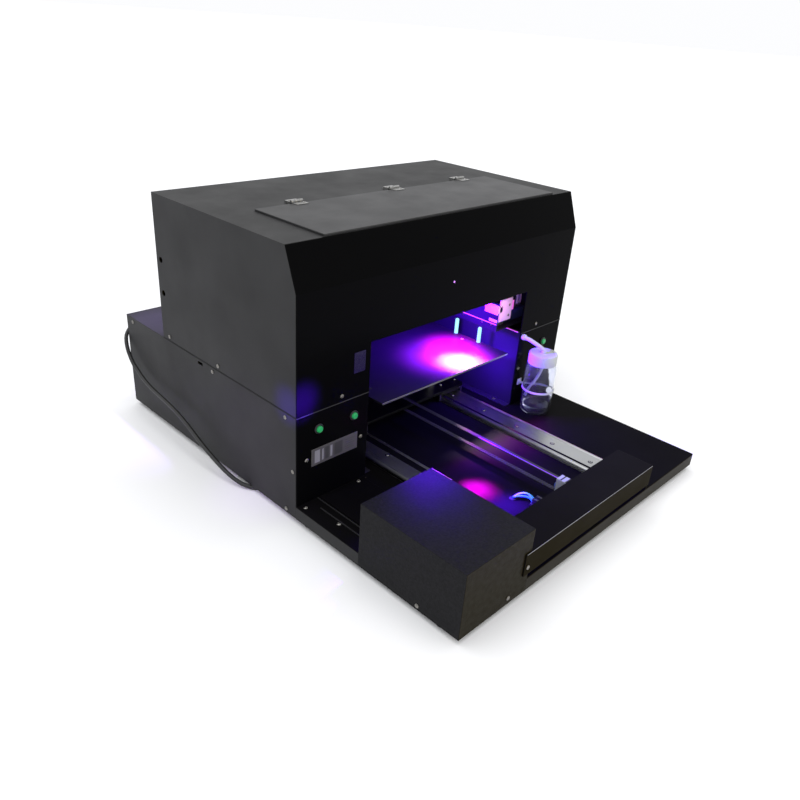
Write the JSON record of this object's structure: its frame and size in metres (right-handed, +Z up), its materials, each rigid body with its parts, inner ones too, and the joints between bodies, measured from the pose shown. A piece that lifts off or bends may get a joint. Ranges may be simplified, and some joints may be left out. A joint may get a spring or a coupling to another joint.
{
  "type": "flatbed uv printer",
  "caption": "Tabletop flatbed printer with a sliding, lifting print table on rails, a cross-travelling print head with a curing lamp, an open front bed and a hinged service lid.",
  "frame": {"origin": "centre of the machine's footprint on the floor, at the feet's undersides", "axes": "+X to the machine's right, -Y towards its open front bed, +Z up"},
  "size_m": [0.6756, 0.943, 0.4325],
  "materials": {
    "rubber": "matt",
    "black_sheet": "satin powder coat",
    "black_gloss": "gloss",
    "textured_black": "fine texture",
    "tunnel_steel": "satin",
    "rail_aluminium": "drawn",
    "idler_white": "moulded",
    "belt": "toothed",
    "motor_black": "satin",
    "ground_steel": "ground",
    "frame_grey": "satin",
    "table_black": "semi gloss",
    "clear_peg": "clear",
    "carriage_dark": "satin",
    "head_blue": "moulded",
    "damper_white": "translucent",
    "lamp_metal": "anodised",
    "dark_plastic": "moulded",
    "psu_steel": "plated",
    "board_green": "solder mask",
    "hinge_steel": "plated",
    "button_green": "lit",
    "label_grey": "printed blank",
    "window_black": "tinted",
    "clear_plastic": "clear",
    "white_plastic": "moulded",
    "cable_black": "satin"
  },
  "bodies": {
    "chassis": {"feet": "rubber", "base_pan": "black_sheet", "tray_deck": "black_sheet", "lower_housing": "black_sheet", "front_panel": "black_gloss", "back_panel": "black_sheet", "print_cover": "black_sheet", "fascia": "black_gloss", "corner_box": "textured_black", "front_lip": "black_sheet", "tunnel_walls": "tunnel_steel", "guide_rails": "rail_aluminium", "drive_belt": "belt", "idler_bracket": "idler_white", "table_motor": "motor_black", "limit_sensor": "dark_plastic", "mechanism_frame": "tunnel_steel", "head_shaft": "ground_steel", "head_belt": "belt", "head_motor": "motor_black", "capping_station": "dark_plastic", "ink_tanks": "damper_white", "power_supply": "psu_steel", "circuit_boards": "board_green", "fan_frame": "dark_plastic", "hinge_bases": "hinge_steel", "button_bezels": "dark_plastic", "rating_plate": "label_grey", "view_window": "window_black", "panel_screws": "ground_steel", "waste_bottle": "clear_plastic", "bottle_cap": "white_plastic", "waste_tube": "white_plastic", "lead_outlet": "cable_black", "lead_tube": "cable_black", "lead_coil": "cable_black", "mains_plug": "cable_black"},
    "stage": {"slide_plate": "rail_aluminium", "bearing_blocks": "rail_aluminium", "belt_clamp": "rail_aluminium", "lift_posts": "ground_steel", "lift_motor": "motor_black"},
    "table": {"table_frame": "frame_grey", "print_table": "table_black", "table_pegs": "clear_peg"},
    "lift_screw": {"lift_screw": "ground_steel"},
    "idler_pulley": {"idler_pulley": "rail_aluminium"},
    "drive_pulley": {"drive_pulley": "rail_aluminium"},
    "head": {"head_carriage": "carriage_dark", "print_head": "head_blue", "ink_dampers": "damper_white", "uv_lamp": "lamp_metal"},
    "head_drive_pulley": {"head_drive_pulley": "rail_aluminium"},
    "head_idler_pulley": {"head_idler_pulley": "rail_aluminium"},
    "fan": {"fan_rotor": "dark_plastic"},
    "lid": {"lid_panel": "black_sheet", "lid_hinges": "hinge_steel"},
    "start_button": {"start_button": "button_green"},
    "stop_button": {"stop_button": "button_green"},
    "feed_button": {"feed_button": "button_green"}
  },
  "joints": [
    {"name": "table_slide", "type": "slide", "parent": "chassis", "child": "stage", "axis": [0, -1, 0], "range_m": [0, 0.3]},
    {"name": "table_lift", "type": "slide", "parent": "stage", "child": "table", "axis": [0, 0, -1], "range_m": [0, 0.03]},
    {"name": "lift_screw_spin", "type": "hinge", "parent": "stage", "child": "lift_screw", "pos_m": [0.048, 0.12, 0.08], "axis": [0, 0, 1], "range_deg": [-10, 1360]},
    {"name": "idler_spin", "type": "hinge", "parent": "chassis", "child": "idler_pulley", "pos_m": [0, -0.335, 0.059], "axis": [1, 0, 0], "range_deg": [-10, 1575]},
    {"name": "drive_spin", "type": "hinge", "parent": "chassis", "child": "drive_pulley", "pos_m": [0, 0.368, 0.059], "axis": [1, 0, 0], "range_deg": [-10, 1575]},
    {"name": "head_slide", "type": "slide", "parent": "chassis", "child": "head", "axis": [-1, 0, 0], "range_m": [0, 0.36]},
    {"name": "head_drive_spin", "type": "hinge", "parent": "chassis", "child": "head_drive_pulley", "pos_m": [-0.29, 0.073, 0.262], "axis": [0, 1, 0], "range_deg": [-2330, 10]},
    {"name": "head_idler_spin", "type": "hinge", "parent": "chassis", "child": "head_idler_pulley", "pos_m": [0.29, 0.073, 0.262], "axis": [0, 1, 0], "range_deg": [-2330, 10]},
    {"name": "fan_spin", "type": "hinge", "parent": "chassis", "child": "fan", "pos_m": [0.255, 0.396, 0.1], "axis": [0, 1, 0], "continuous": true},
    {"name": "lid_hinge", "type": "hinge", "parent": "chassis", "child": "lid", "pos_m": [0, 0.104, 0.43], "axis": [-1, 0, 0], "range_deg": [0, 100]},
    {"name": "start_button_press", "type": "slide", "parent": "chassis", "child": "start_button", "axis": [0, 1, 0], "range_m": [0, 0.0025], "stiffness_N_per_m": 400},
    {"name": "stop_button_press", "type": "slide", "parent": "chassis", "child": "stop_button", "axis": [0, 1, 0], "range_m": [0, 0.0025], "stiffness_N_per_m": 400},
    {"name": "feed_button_press", "type": "slide", "parent": "chassis", "child": "feed_button", "axis": [0, 1, 0], "range_m": [0, 0.0025], "stiffness_N_per_m": 400}
  ],
  "couplings": [
    {"joint": "lift_screw_spin", "follows": "table_lift", "rad_per_m": 785.4},
    {"joint": "idler_spin", "follows": "table_slide", "rad_per_m": 90.909},
    {"joint": "drive_spin", "follows": "table_slide", "rad_per_m": 90.909},
    {"joint": "head_drive_spin", "follows": "head_slide", "rad_per_m": -112.36},
    {"joint": "head_idler_spin", "follows": "head_slide", "rad_per_m": -112.36}
  ]
}
